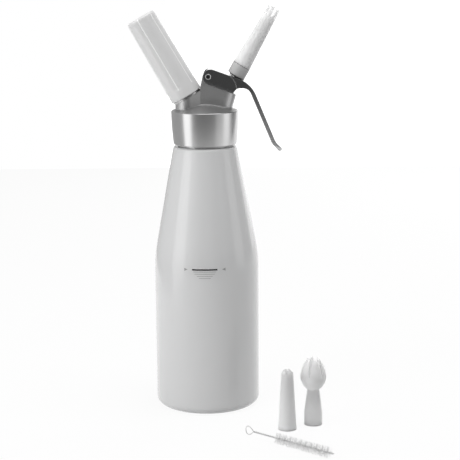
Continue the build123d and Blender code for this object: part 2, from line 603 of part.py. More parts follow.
def lever_outline():
    """The lever from its side: round end, flat top, knee, long drop, curled tip, arch, cheek."""
    drop, curl = handle_directions()
    knee = Vector(HANDLE_KNEE_AHEAD, PLATE_TOP)
    bend = knee + drop * HANDLE_LENGTH
    tip = bend + curl * HANDLE_CURL_LENGTH
    inward = Vector(drop.Y, -drop.X)
    inner_tip = tip + Vector(curl.Y, -curl.X) * HANDLE_THICKNESS
    half_turn = tan(radians(HANDLE_CURL_ANGLE) / 2)
    inner_bend = bend + inward * HANDLE_THICKNESS - drop * HANDLE_THICKNESS * half_turn
    arch = Vector(ARCH_START_AHEAD, -ARCH_START_DROP)
    level = Vector(cos(SLOPE), sin(SLOPE))
    along = knee + inward * HANDLE_THICKNESS - arch
    reach = (along.X * drop.Y - along.Y * drop.X) / (level.X * drop.Y - level.Y * drop.X)
    inner_knee = arch + level * reach
    outline = FilletPolyline(
        (CHEEK_END_AHEAD, PLATE_TOP), knee, bend, tip, inner_tip, inner_bend, inner_knee, arch,
        (CHEEK_LENGTH, -CHEEK_BOTTOM), (CHEEK_END_AHEAD, -CHEEK_BOTTOM),
        radius=[HANDLE_KNEE_ROUNDING, HANDLE_CURL_ROUNDING, HANDLE_EDGE_ROUNDING, HANDLE_EDGE_ROUNDING,
                HANDLE_CURL_ROUNDING - HANDLE_THICKNESS, HANDLE_INNER_ROUNDING, ARCH_ROUNDING,
                CHEEK_CORNER_ROUNDING],
    )
    end_middle = (PLATE_TOP - CHEEK_BOTTOM) / 2
    end_left = (CHEEK_END_AHEAD - (PLATE_TOP + CHEEK_BOTTOM) / 2, end_middle)
    end = ThreePointArc((CHEEK_END_AHEAD, -CHEEK_BOTTOM), end_left, (CHEEK_END_AHEAD, PLATE_TOP))
    return make_face([*outline.edges(), end])


def handle_side():
    """The part of the lever's side that stands out past the cheeks: all ahead of a sweeping line."""
    start = (CHEEK_LENGTH / 2, PLATE_TOP + PAST)
    middle = (ARCH_START_AHEAD - HANDLE_SIDE_SWEEP, PLATE_TOP / 2)
    end = (ARCH_START_AHEAD + PAST, -CHEEK_BOTTOM)
    far = HANDLE_KNEE_AHEAD + HANDLE_LENGTH
    return make_face([
        ThreePointArc(start, middle, end),
        Line(end, (end[0], -far)),
        Line((end[0], -far), (far, -far)),
        Line((far, -far), (far, start[1])),
        Line((far, start[1]), start),
    ])


def handle_taper():
    """What the lever is trimmed to across its width: full at the cheeks, narrow at the round tip."""
    drop, curl = handle_directions()
    tip = PLATE_TOP + drop.Y * HANDLE_LENGTH + curl.Y * HANDLE_CURL_LENGTH - HANDLE_THICKNESS
    wide = CHEEK_OUTER + HANDLE_SIDE_STEP
    narrow = HANDLE_TIP_HALF_WIDTH
    top = PLATE_TOP + PAST
    face = make_face(Polyline(
        (-wide, top), (-wide, 0), (-narrow, tip), (narrow, tip), (wide, 0), (wide, top), close=True))
    corners = face.vertices().group_by(Axis.Y)[0]
    face = fillet(corners, HANDLE_TIP_ROUNDING)
    reach = HANDLE_KNEE_AHEAD + HANDLE_LENGTH
    return Pos(-reach, 0, 0) * extrude(Plane.YZ * face, 2 * reach)


def lever():
    """The lever: two cheeks round the web, a plate over them with the spindle's slot, the handle."""
    outline = lever_outline()
    body = plate(outline, -CHEEK_OUTER, CHEEK_OUTER)
    wide = CHEEK_OUTER + HANDLE_SIDE_STEP
    body += plate(outline & handle_side(), -wide, wide)
    body &= handle_taper()
    ceiling = PLATE_TOP - PLATE_THICKNESS
    pocket_end = PIVOT_OFFSET + hex_corner(BONNET_ACROSS_FLATS) + 2 * CLEAR
    pocket = make_face(Polyline((-PIVOT_OFFSET, ceiling), (pocket_end, ceiling), (pocket_end, -PIVOT_OFFSET),
                                (-PIVOT_OFFSET, -PIVOT_OFFSET), close=True))
    body -= plate(pocket, -CHEEK_INNER, CHEEK_INNER)
    body -= Rot(90, 0, 0) * Cylinder(PIVOT_RADIUS + SLIP, 4 * CHEEK_OUTER)
    return LEVER.location * body - spindle_slot()


def spindle_slot():
    """The flat seat for the adapter's ring and the slot that lets the plate swing past the spindle."""
    swing = (PLATE_SEAT - PIVOT_HEIGHT) * sin(PRESS)
    half = SPINDLE_RADIUS + CLEAR
    slot = Pos(-swing / 2, 0, PLATE_SEAT) * Box(2 * half + swing, 2 * half, 4 * PLATE_THICKNESS)
    seat = rod(ADAPTER_RADIUS + 2 * CLEAR, PLATE_SEAT, ADAPTER_TOP)
    return OUTLET.location * (slot + seat)


def pivot_barrel():
    """The sleeve through the web and both cheeks, flanged at the back, tapped from the front."""
    front = CHEEK_OUTER + CLEAR
    barrel = rod(PIVOT_RADIUS, -front, front) + rod(PIVOT_FLANGE_RADIUS, front, front + PIVOT_HEAD_HEIGHT)
    barrel -= rod(PIVOT_SCREW_RADIUS + SEATED, -front, PIVOT_SCREW_LENGTH - front)
    return Pos(PIVOT.X, 0, PIVOT.Z) * Rot(-90, 0, 0) * barrel


def pivot_screw():
    """The socket screw in the barrel's front end, whose head keeps the front cheek on."""
    front = CHEEK_OUTER + CLEAR
    head = chamfer(rod(PIVOT_HEAD_RADIUS, -front - PIVOT_HEAD_HEIGHT, -front).edges().group_by(Axis.Z)[0],
                   PIVOT_HEAD_CHAMFER)
    head += rod(PIVOT_SCREW_RADIUS, -front, PIVOT_SCREW_LENGTH - front - CLEAR)
    head -= hexagon(HEX_KEY, -front - PIVOT_HEAD_HEIGHT, -front - PIVOT_HEAD_HEIGHT + HEX_KEY_DEPTH)
    return Pos(PIVOT.X, 0, PIVOT.Z) * Rot(-90, 0, 0) * head


# Inlet
def inlet_port():
    """The steel insert: flange on the boss, threaded stud for the holder, stem through the boss."""
    port = rod(INLET_FLANGE_RADIUS, INLET_BOSS_TOP, INLET_FLANGE_TOP)
    port += rod(INLET_STUD_ROOT_RADIUS, INLET_FLANGE_TOP, INLET_STUD_TOP)
    turns = INLET_STUD_LENGTH / INLET_STUD_THREAD_PITCH - 2
    port += thread(INLET_STUD_ROOT_RADIUS, INLET_STUD_THREAD_DEPTH, INLET_STUD_THREAD_PITCH, turns,
                   INLET_FLANGE_TOP + INLET_STUD_THREAD_PITCH)
    port += rod(INLET_STEM_RADIUS, INLET_STEM_END, INLET_BOSS_TOP)
    port -= rod(CHARGER_NECK_RADIUS + CLEAR, SOCKET_FLOOR, INLET_STUD_TOP)
    port -= rod(INLET_CORE_RADIUS, CHECK_SEAT_HEIGHT + CHECK_SEAT_LENGTH, SOCKET_FLOOR)
    port -= rod(CHECK_SEAT_RADIUS, CHECK_SEAT_HEIGHT, CHECK_SEAT_HEIGHT + CHECK_SEAT_LENGTH)
    return INLET.location * (port - rod(INLET_CORE_RADIUS, INLET_STEM_END, CHECK_SEAT_HEIGHT))


def inlet_nut():
    """The cap nut inside the head that holds the insert and keeps the check valve in."""
    nut = hexagon(INLET_NUT_ACROSS_FLATS, INLET_NUT_LOW, INLET_NUT_TOP)
    nut -= rod(INLET_STEM_RADIUS + SEATED, INLET_STEM_END, INLET_NUT_TOP)
    return INLET.location * (nut - rod(CHECK_SEAT_RADIUS, INLET_NUT_LOW, INLET_STEM_END))


def inlet_gasket():
    """The small ring at the floor of the charger's socket."""
    top = SOCKET_FLOOR + INLET_GASKET_THICKNESS
    ring = rod(CHARGER_NECK_RADIUS, SOCKET_FLOOR, top) - rod(2 * PIN_RADIUS, SOCKET_FLOOR, top)
    return INLET.location * ring


def piercing_pin():
    """The hollow pin, pressed into the insert, that stands up into the charger's mouth."""
    foot = rod(INLET_CORE_RADIUS - SEATED, SOCKET_FLOOR - PIN_FOOT_THICKNESS, SOCKET_FLOOR)
    tip = CHARGER_MOUTH + PIN_REACH
    foot += rod(PIN_RADIUS, SOCKET_FLOOR, CHARGER_MOUTH)
    foot += cone(PIN_RADIUS, PIN_TIP_RADIUS, CHARGER_MOUTH, tip)
    return INLET.location * (foot - rod(PIN_GAS_RADIUS, SOCKET_FLOOR - PIN_FOOT_THICKNESS, tip))


def check_valve():
    """The non-return valve: a disc under its seat, with a stem that the spring is wound round."""
    top = CHECK_SEAT_HEIGHT - CLEAR
    disc_low = top - CHECK_DISC_THICKNESS
    disc = rod(CHECK_DISC_RADIUS, disc_low, top)
    return INLET.location * (disc + rod(CHECK_STEM_RADIUS, disc_low - CHECK_STEM_LENGTH, disc_low))


def check_valve_spring():
    """The light spring under the check valve's disc."""
    top = CHECK_SEAT_HEIGHT - CLEAR - CHECK_DISC_THICKNESS
    return INLET.location * spring(CHECK_SPRING_RADIUS, CHECK_WIRE, CHECK_SPRING_TURNS, INLET_STEM_END, top)


# Charger and holder
def gas_charger():
    """The small steel gas bottle: thin neck, domed shoulder, round end, pierced at its mouth."""
    def bulb(inset):
        side = CHARGER_RADIUS - inset
        neck = CHARGER_NECK_RADIUS - inset
        low = CHARGER_MOUTH + inset
        neck_end = CHARGER_MOUTH + CHARGER_NECK_LENGTH
        side_start = neck_end + CHARGER_SHOULDER_LENGTH
        side_end = CHARGER_END - CHARGER_RADIUS
        middle = (neck_end + side_start) / 2
        return turned(
            Line((0, low), (neck, low)),
            Line((neck, low), (neck, neck_end)),
            Bezier((neck, neck_end), (neck, middle), (side, middle), (side, side_start)),
            Line((side, side_start), (side, side_end)),
            CenterArc((0, side_end), side, 0, 90),
            Line((0, side_end + side), (0, low)),
        )
    mouth = rod(PIN_RADIUS + 3 * SLIP, CHARGER_MOUTH, CHARGER_MOUTH + 2 * CHARGER_WALL)
    return INLET.location * (bulb(0) - bulb(CHARGER_WALL) - mouth)


def panel_outline(radius, height):
    """Six shallow convex panels meeting in ridges on this radius, at a height along the holder."""
    half = 180 / HOLDER_PANEL_COUNT
    turn = -90 + HOLDER_PANEL_TURN
    ridges = [(turn + 2 * half * k) for k in range(HOLDER_PANEL_COUNT)]
    flat = radius - HOLDER_PANEL_DEPTH
    def at(reach, angle):
        return (reach * cos(radians(angle)), reach * sin(radians(angle)))
    return Pos(0, 0, height) * make_face([
        ThreePointArc(at(radius, a), at(flat, a + half), at(radius, a + 2 * half)) for a in ridges])


def charger_holder():
    """The plastic sleeve screwed onto the inlet's stud: tapered, panelled outside, ribbed inside."""
    panels_low = HOLDER_LOW + HOLDER_PANEL_START
    panels_radius = HOLDER_RADIUS - HOLDER_TAPER * HOLDER_PANEL_START / (HOLDER_TOP - HOLDER_LOW)
    end_radius = HOLDER_RADIUS - HOLDER_TAPER
    body = cone(HOLDER_RADIUS, panels_radius, HOLDER_LOW, panels_low)
    body += loft([panel_outline(panels_radius, panels_low), panel_outline(end_radius, HOLDER_TOP)], ruled=True)
    body = fillet(body.edges().group_by(Axis.Z)[-1], HOLDER_END_ROUNDING)
    thread_top = INLET_STUD_TOP + 2 * CLEAR
    body -= rod(INLET_CREST_RADIUS + CLEAR, HOLDER_LOW, thread_top)
    inner = end_radius - HOLDER_PANEL_DEPTH - HOLDER_BODY_WALL
    hollow = rod(inner, thread_top, HOLDER_FLOOR)
    rib = Pos(HOLDER_RADIUS, 0, (thread_top + HOLDER_FLOOR) / 2) * Box(
        2 * HOLDER_RADIUS, HOLDER_RIB_WIDTH, HOLDER_FLOOR - thread_top)
    for turn in range(HOLDER_PANEL_COUNT):
        hollow -= Rot(0, 0, 360 / HOLDER_PANEL_COUNT * turn + HOLDER_PANEL_TURN) * rib
    hollow += rod(CHARGER_RADIUS + SLIP, thread_top, HOLDER_FLOOR)
    return INLET.location * (body - hollow)


# Spare nozzles
def domed(*side):
    """The solid turned from a side that runs up to the foot of a round tip."""
    radius, height = side[-1]
    return turned(
        *Polyline((0, 0), *side).edges(),
        CenterArc((0, height), radius, 0, 90),
        Line((0, height + radius), (0, 0)),
    )


def straight_nozzle():
    """The plain spare nozzle: foot ring, long taper, domed tip with a small slit mouth."""
    dome_low = STRAIGHT_HEIGHT - STRAIGHT_HIGH_RADIUS
    nozzle = domed(
        (STRAIGHT_FOOT_RADIUS, 0),
        (STRAIGHT_FOOT_RADIUS, STRAIGHT_FOOT_HEIGHT),
        (STRAIGHT_LOW_RADIUS, STRAIGHT_FOOT_HEIGHT + STRAIGHT_FOOT_STEP),
        (STRAIGHT_HIGH_RADIUS, dome_low),
    )
    nozzle -= domed(
        (SOCKET_RADIUS, 0),
        (SOCKET_RADIUS, SPARE_SOCKET_DEPTH),
        (STRAIGHT_HIGH_RADIUS - SPARE_WALL, dome_low),
    )
    nozzle -= rod(STRAIGHT_MOUTH_RADIUS, dome_low, STRAIGHT_HEIGHT + PAST)
    slit = Pos(STRAIGHT_LOW_RADIUS / 2, 0, STRAIGHT_HEIGHT) * Box(
        STRAIGHT_LOW_RADIUS, STRAIGHT_SLIT_WIDTH, 2 * STRAIGHT_SLIT_DEPTH)
    for turn in range(STRAIGHT_SLIT_COUNT):
        nozzle -= Rot(0, 0, STRAIGHT_SLIT_TURN + 360 / STRAIGHT_SLIT_COUNT * turn) * slit
    return Pos(STRAIGHT_X, STRAIGHT_Y, 0) * nozzle


def tulip_nozzle():
    """The spare tulip nozzle: cylinder foot, tapered stem and a bulb split into petals."""
    def bulb(inset, low, base):
        waist = (TULIP_NECK_RADIUS - inset, TULIP_NECK_HEIGHT + inset / 2)
        cup = (TULIP_CUP_RADIUS - inset, TULIP_CUP_HEIGHT + inset / 2)
        widest = (TULIP_BULB_RADIUS - inset, TULIP_BULB_HEIGHT)
        petal = (TULIP_PETAL_RADIUS - inset, TULIP_PETAL_HEIGHT)
        top = (TULIP_TIP_RADIUS - inset, TULIP_HEIGHT)
        leave = (1, TULIP_CUP_SLOPE)
        arrive = (top[0] - petal[0], top[1] - petal[1])
        return turned(
            Line((0, 0), (base, 0)),
            Line((base, 0), (base, low)),
            Line((base, low), waist),
            Spline(waist, cup, widest, petal, top, tangents=[leave, arrive]),
            Line(top, (0, TULIP_HEIGHT)),
            Line((0, TULIP_HEIGHT), (0, 0)),
        )
    nozzle = bulb(0, TULIP_BASE_HEIGHT, TULIP_BASE_RADIUS)
    nozzle -= bulb(SPARE_WALL, SPARE_SOCKET_DEPTH, SOCKET_RADIUS)
    middle = TULIP_SLOT_MIDDLE_WIDTH / 2
    high = TULIP_SLOT_HIGH_WIDTH / 2
    top = TULIP_SLOT_TOP_WIDTH / 2
    leaf = make_face(Polyline(
        (0, TULIP_SLOT_LOW),
        (middle, TULIP_SLOT_MIDDLE), (high, TULIP_SLOT_HIGH), (top, TULIP_HEIGHT + PAST),
        (-top, TULIP_HEIGHT + PAST), (-high, TULIP_SLOT_HIGH), (-middle, TULIP_SLOT_MIDDLE),
        close=True,
    ))
    cutter = plate(leaf, -2 * TULIP_BULB_RADIUS, 0)
    for turn in range(TULIP_SLOT_COUNT):
        nozzle -= Rot(0, 0, TULIP_SLOT_TURN + 360 / TULIP_SLOT_COUNT * turn) * cutter
    return Pos(TULIP_X, TULIP_Y, 0) * nozzle


# Cleaning brush
BRUSH_PLACE = Pos(BRUSH_LOOP_X, BRUSH_LOOP_Y, BRISTLE_RADIUS) * Rot(0, 0, BRUSH_ANGLE) * Rot(0, 90, 0)


def brush_wire():
    """The brush's wire: a loop to hold it by and a straight twisted stem, drawn round."""
    loop = Rot(90, 0, 0) * Torus(BRUSH_LOOP_RADIUS, BRUSH_WIRE_RADIUS)
    return BRUSH_PLACE * (loop + rod(BRUSH_WIRE_RADIUS, BRUSH_LOOP_RADIUS, BRUSH_REACH))


def brush_bristles():
    """The outer shape of the bristles, a round sleeve on the stem."""
    end = BRISTLE_START + BRISTLE_LENGTH
    sleeve = rod(BRISTLE_RADIUS, BRISTLE_START, end) - rod(BRUSH_WIRE_RADIUS + SEATED, BRISTLE_START, end)
    return BRUSH_PLACE * sleeve


PIECES = [
    bottle, head_casting, head_gasket,
    valve_bonnet, valve_spindle, spindle_o_ring, valve_seal, valve_spring,
    nozzle_adapter, adapter_ring, star_nozzle,
    lever, pivot_barrel, pivot_screw,
    inlet_port, inlet_nut, inlet_gasket, piercing_pin, check_valve, check_valve_spring,
    gas_charger, charger_holder,
    straight_nozzle, tulip_nozzle, brush_wire, brush_bristles,
]

os.makedirs("parts", exist_ok=True)
for piece in PIECES:
    export_step(piece(), "parts/" + piece.__name__ + ".step")
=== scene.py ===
import bmesh
import bpy
import numpy as np
from mathutils import Euler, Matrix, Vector


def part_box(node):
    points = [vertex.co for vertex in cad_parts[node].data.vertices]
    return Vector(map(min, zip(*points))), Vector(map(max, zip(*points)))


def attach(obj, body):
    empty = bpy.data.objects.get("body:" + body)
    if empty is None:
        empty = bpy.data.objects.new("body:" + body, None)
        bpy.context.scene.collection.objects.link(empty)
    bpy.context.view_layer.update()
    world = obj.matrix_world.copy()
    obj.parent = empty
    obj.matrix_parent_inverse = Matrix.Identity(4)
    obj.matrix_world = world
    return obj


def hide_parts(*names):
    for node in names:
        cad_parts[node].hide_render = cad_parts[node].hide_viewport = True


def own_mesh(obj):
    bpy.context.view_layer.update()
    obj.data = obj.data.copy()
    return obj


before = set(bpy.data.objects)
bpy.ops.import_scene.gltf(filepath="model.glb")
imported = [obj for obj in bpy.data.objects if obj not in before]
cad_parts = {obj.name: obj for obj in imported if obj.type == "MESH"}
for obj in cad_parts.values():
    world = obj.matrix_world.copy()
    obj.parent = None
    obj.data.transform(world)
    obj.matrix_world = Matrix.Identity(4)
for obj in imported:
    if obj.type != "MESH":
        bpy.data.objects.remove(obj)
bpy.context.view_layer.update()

# Bottle
# One piece of drawn aluminium: a thin body, a flat shoulder and a neck with a coarse thread. It is
# lacquered gloss white outside and left bare on the neck and inside.
BODY_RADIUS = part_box("bottle")[1].y
NECK_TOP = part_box("bottle")[1].z
BASE_ROUNDING = 0.0072
STRAIGHT_TOP = 0.131
ARC_RADIUS = 0.150
SHOULDER_HEIGHT = 0.2485
SHOULDER_RADIUS = 0.0297
SHOULDER_ROUNDING = 0.003
NECK_ROOT = 0.0244
NECK_BORE = 0.022
NECK_THREAD_DEPTH = 0.0013
NECK_THREAD_PITCH = 0.005
NECK_THREAD_START = 0.0025
NECK_THREAD_END = 0.0205
THREAD_FADE = 0.001
THREAD_ROOT_SHARE = 0.45
THREAD_FLANK_SHARE = 0.3
LIP_ROUNDING = 0.0009
BOTTLE_WALL = 0.0015
SHOULDER_WALL = 0.0022
BOTTLE_SIDES = 192


def arc(middle, radius, start, end, steps):
    """Points of an arc: middle plus radius times (cos a, sin a), with a from start to end degrees."""
    angle = np.radians(np.linspace(start, end, steps))
    return np.stack([middle[0] + radius * np.cos(angle), middle[1] + radius * np.sin(angle)], axis=1)


def line(start, end, steps):
    """Evenly spaced points of a straight line: start plus t times (end - start)."""
    share = np.linspace(0, 1, steps)[:, None]
    return np.array(start) + share * (np.array(end) - np.array(start))


def body_side(inset, shoulder):
    """The body's side from base to shoulder: quarter arc, line, long arc, cone and rounding.

    The cone leaves the long arc where it points at the shoulder's corner, which a tangent arc rounds."""
    side = BODY_RADIUS - inset
    middle = np.array([BODY_RADIUS - ARC_RADIUS, STRAIGHT_TOP])
    away = np.array([SHOULDER_RADIUS, SHOULDER_HEIGHT]) - middle
    lean = np.arctan2(away[1], away[0]) - np.arccos(ARC_RADIUS / np.hypot(*away))
    top = middle + (ARC_RADIUS - inset) * np.array([np.cos(lean), np.sin(lean)])
    corner = top[0] - (shoulder - top[1]) * np.tan(lean)
    rounding = corner - SHOULDER_ROUNDING / np.tan((np.pi / 2 + lean) / 2)
    return np.vstack([
        arc((BODY_RADIUS - BASE_ROUNDING, BASE_ROUNDING), BASE_ROUNDING - inset, -90, 0, 14),
        line((side, BASE_ROUNDING), (side, STRAIGHT_TOP), 24)[1:],
        arc(middle, ARC_RADIUS - inset, 0, np.degrees(lean), 22)[1:],
        arc((rounding, shoulder - SHOULDER_ROUNDING), SHOULDER_ROUNDING, np.degrees(lean), 90, 10),
    ])


def lathe(outline, turn):
    """The surface turned about Z: (r cos a, r sin a, z) for each outline point (r, z) and angle a."""
    radius = outline[:, :1]
    height = outline[:, 1:] + 0 * turn
    return np.stack([radius * np.cos(turn), radius * np.sin(turn), height], axis=2)


def closed_mesh(name, points, ring=False, crease=30):
    """An object over a grid of points whose last column meets its first, and the last row too in a ring.

    Equal points are merged, so a row that lies on one point is a pole. Faces are turned outwards."""
    rows, columns = points.shape[:2]
    index = np.arange(rows * columns).reshape(rows, columns)
    index = np.hstack([index, index[:, :1]])
    if ring:
        index = np.vstack([index, index[:1]])
    faces = np.stack([index[:-1, :-1], index[:-1, 1:], index[1:, 1:], index[1:, :-1]], axis=2)
    mesh = bpy.data.meshes.new(name)
    mesh.from_pydata(points.reshape(-1, 3).tolist(), [], faces.reshape(-1, 4).tolist())
    tidy = bmesh.new()
    tidy.from_mesh(mesh)
    bmesh.ops.remove_doubles(tidy, verts=tidy.verts, dist=1e-7)
    bmesh.ops.recalc_face_normals(tidy, faces=tidy.faces)
    tidy.to_mesh(mesh)
    tidy.free()
    mesh.shade_smooth()
    mesh.set_sharp_from_angle(angle=np.radians(crease))
    made = bpy.data.objects.new(name, mesh)
    bpy.context.scene.collection.objects.link(made)
    return made


def thread_ridge(along, pitch):
    """Height from 0 to 1 of a blunt thread at a place along its pitch: a clipped triangle wave."""
    wave = np.abs((along / pitch) % 1 - 0.5) * 2
    return np.clip((wave - THREAD_ROOT_SHARE) / THREAD_FLANK_SHARE, 0, 1)


turn = np.arange(BOTTLE_SIDES) * 2 * np.pi / BOTTLE_SIDES
inner_shoulder = SHOULDER_HEIGHT - SHOULDER_WALL
outside = body_side(0, SHOULDER_HEIGHT)
inside = body_side(BOTTLE_WALL, inner_shoulder)[::-1]
neck = line((NECK_ROOT, SHOULDER_HEIGHT), (NECK_ROOT, NECK_TOP - LIP_ROUNDING), 90)
lip = np.vstack([
    arc((NECK_ROOT - LIP_ROUNDING, NECK_TOP - LIP_ROUNDING), LIP_ROUNDING, 0, 90, 6),
    arc((NECK_BORE + LIP_ROUNDING, NECK_TOP - LIP_ROUNDING), LIP_ROUNDING, 90, 180, 6),
])
bore = line((NECK_BORE, NECK_TOP - LIP_ROUNDING), (NECK_BORE, inner_shoulder), 6)
outline = np.vstack([[[0, 0]], outside, neck, lip, bore, inside, [[0, BOTTLE_WALL]]])
shape = lathe(outline, turn)
first = 1 + len(outside)
climb = neck[:, 1:] - SHOULDER_HEIGHT
ridge = thread_ridge(climb - NECK_THREAD_PITCH * turn / (2 * np.pi), NECK_THREAD_PITCH)
fade = np.clip((climb - NECK_THREAD_START) / THREAD_FADE, 0, 1)
fade = fade * np.clip((NECK_THREAD_END - climb) / THREAD_FADE, 0, 1)
shape[first:first + len(neck), :, :2] *= (1 + NECK_THREAD_DEPTH / NECK_ROOT * ridge * fade)[:, :, None]
bottle = closed_mesh("bottle_lacquered", shape)
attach(bottle, "bottle")
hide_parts("bottle")


class Shade:
    """One socket of a material's nodes: arithmetic and comparisons on it add Math nodes."""

    def __init__(self, tree, socket):
        self.tree = tree
        self.socket = socket

    def node(self, kind, sockets, output=0, stops=(), **settings):
        """Adds a node: its settings and ramp stops first, then the values or links of its sockets."""
        made = self.tree.nodes.new("ShaderNode" + kind)
        for name, value in settings.items():
            setattr(made, name, value)
        for _ in stops[2:]:
            made.color_ramp.elements.new(1)
        for element, (place, level) in zip(made.color_ramp.elements if stops else (), stops):
            element.position = place
            element.color = (level, level, level, 1)
        for name, value in sockets.items():
            if isinstance(value, Shade):
                self.tree.links.new(value.socket, made.inputs[name])
            else:
                made.inputs[name].default_value = value
        return Shade(self.tree, made.outputs[output])

    def __add__(self, other):
        return self.node("Math", {0: self, 1: other}, operation="ADD")

    def __sub__(self, other):
        return self.node("Math", {0: self, 1: other}, operation="SUBTRACT")

    def __rsub__(self, other):
        return self.node("Math", {0: other, 1: self}, operation="SUBTRACT")

    def __mul__(self, other):
        return self.node("Math", {0: self, 1: other}, operation="MULTIPLY")

    def __abs__(self):
        return self.node("Math", {0: self}, operation="ABSOLUTE")

    def __lt__(self, other):
        return self.node("Math", {0: self, 1: other}, operation="LESS_THAN")

    def __gt__(self, other):
        return self.node("Math", {0: self, 1: other}, operation="GREATER_THAN")

    __radd__ = __add__
    __rmul__ = __mul__


def new_finish(name):
    """A material, and the Object coordinates that its patterns start from."""
    made = bpy.data.materials.new(name)
    made.use_nodes = True
    start = made.node_tree.nodes.new("ShaderNodeTexCoord")
    return made, Shade(made.node_tree, start.outputs["Object"])


def coat(finish, **values):
    """Sets the sockets of a material's Principled BSDF, their names with _ for each space."""
    shader = finish.node_tree.nodes["Principled BSDF"]
    for name, value in values.items():
        socket = shader.inputs[name.replace("_", " ")]
        if isinstance(value, Shade):
            finish.node_tree.links.new(value.socket, socket)
        else:
            socket.default_value = value


def layer(finish, mask, above):
    """Shows another shader instead of a material's own wherever the mask is 1."""
    tree = finish.node_tree
    own = Shade(tree, tree.nodes["Principled BSDF"].outputs[0])
    mixed = own.node("MixShader", {0: mask, 1: own, 2: above})
    tree.links.new(mixed.socket, tree.nodes["Material Output"].inputs["Surface"])


def axes(place):
    """The three coordinates of a place."""
    return [place.node("SeparateXYZ", {"Vector": place}, output=k) for k in range(3)]


def noise(place, size, detail=2.0, roughness=0.5):
    """Cloudy noise from 0 to 1 with blotches of about this size."""
    return place.node("TexNoise", {
        "Vector": place, "Scale": 1 / size, "Detail": detail, "Roughness": roughness,
    })


def blend_colours(mask, below, above):
    """One colour where the mask is 0 and the other where it is 1."""
    return mask.node("Mix", {0: mask, 6: below, 7: above}, output=2, data_type="RGBA")


def grey(level, tint=0.0):
    """A grey of this level, a little bluer for a tint above 0."""
    return (level * (1 - tint), level, level * (1 + tint), 1)


def bump(height, distance, strength=1.0):
    """The surface tilted as if it rose by distance where height is 1."""
    return height.node("Bump", {"Height": height, "Distance": distance, "Strength": strength}, output=0)


def soft_edges(place, radius):
    """Normals as if every edge were rounded to this radius."""
    return place.node("Bevel", {"Radius": radius}, samples=6)


def bump_on(normal, height, distance):
    """Normals tilted by a relief, on top of other normals."""
    return height.node("Bump", {"Height": height, "Distance": distance, "Normal": normal}, output=0)


def lathe_marks(place, spacing):
    """Fine rings about the place's Z: noise over height plus radius, stretched long round the piece."""
    x, y, z = axes(place)
    flat = place.node("CombineXYZ", {0: x, 1: y})
    radius = place.node("VectorMath", {0: flat}, output=1, operation="LENGTH")
    angle = place.node("Math", {0: y, 1: x}, operation="ARCTAN2")
    along = place.node("CombineXYZ", {0: angle * 1.5, 1: (z + radius) * (1 / spacing)})
    return place.node("TexNoise", {"Vector": along, "Scale": 1.0, "Detail": 3.0, "Roughness": 0.6})


# The fill mark, printed on the lacquer's front: a black bar with four thinner lines under it, each
# shorter than the one above, and a small pointer at each end.
MARK_HEIGHT = 0.1398
MARK_MIDDLE = -0.00115
MARK_BAR = (0.01165, 0.0007)
MARK_LINES = (0.0105, 0.0093, 0.0073, 0.0055)
MARK_SPACING = 0.002
MARK_LINE_THICKNESS = 0.0005
POINTER_PLACES = (-0.0168, 0.0148)
POINTER_LENGTH = 0.0032
POINTER_SLOPE = 0.45

lacquer, place = new_finish("gloss_white_lacquer")
x, y, z = axes(place)
from_middle = abs(x - MARK_MIDDLE)
black = (from_middle < MARK_BAR[0]) * (abs(z - MARK_HEIGHT) < MARK_BAR[1]) * (y < 0)
thin = y > 1
for k, half_width in enumerate(MARK_LINES):
    height = MARK_HEIGHT - (k + 1) * MARK_SPACING
    thin = thin + (from_middle < half_width) * (abs(z - height) < MARK_LINE_THICKNESS / 2)
for tip, side in zip(POINTER_PLACES, (1, -1)):
    back = (tip - x) * side
    thin = thin + (back > 0) * (back < POINTER_LENGTH) * (abs(z - MARK_HEIGHT) < back * POINTER_SLOPE)
thin = thin * (y < 0)
clouds = noise(place, 0.06)
white = blend_colours(clouds, grey(0.57, 0.004), grey(0.60, 0.004))
printed = blend_colours(black, blend_colours(thin, white, grey(0.30)), grey(0.012))
peel = noise(place, 0.0016, 1.0)
coat(
    lacquer, Base_Color=printed, Roughness=0.24 + 0.02 * noise(place, 0.02, 3.0),
    Coat_Weight=0.8, Coat_Roughness=0.06, Normal=bump(peel, 0.00002),
)
bare, place = new_finish("bare_aluminium")
rings = lathe_marks(place, 0.00025)
coat(
    bare, Base_Color=blend_colours(rings, grey(0.55), grey(0.66)), Metallic=1.0,
    Roughness=0.28 + 0.14 * rings, Normal=bump(rings, 0.00001),
)
bottle.data.materials.append(lacquer)
bottle.data.materials.append(bare)

# The lacquer ends at the neck's root. Faces that look inwards, or up at the base and down under the
# shoulder, are the inside.
NECK_BARE_FROM = 0.0002
BODY_MIDDLE = 0.1
centres = np.zeros(len(bottle.data.polygons) * 3)
bottle.data.polygons.foreach_get("center", centres)
normals = np.zeros(len(bottle.data.polygons) * 3)
bottle.data.polygons.foreach_get("normal", normals)
centres = centres.reshape(-1, 3)
normals = normals.reshape(-1, 3)
outward = (centres[:, :2] * normals[:, :2]).sum(axis=1)
outward += 0.01 * normals[:, 2] * np.sign(centres[:, 2] - BODY_MIDDLE)
is_bare = (outward <= 0) | (centres[:, 2] > SHOULDER_HEIGHT + NECK_BARE_FROM)
bottle.data.polygons.foreach_set("material_index", is_bare.astype(np.int32))


def dress(finish, *nodes):
    """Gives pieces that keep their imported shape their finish."""
    for name in nodes:
        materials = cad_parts[name].data.materials
        materials.clear()
        materials.append(finish)


# Head
# A cast aluminium head. Its skirt and dome are turned on a lathe, and the web and the bosses for the two
# ports are blasted to an even satin. The finish gives fine rings round the skirt only, below its rim;
# the dome takes the blasted satin.
SKIRT_RIM = 0.2817

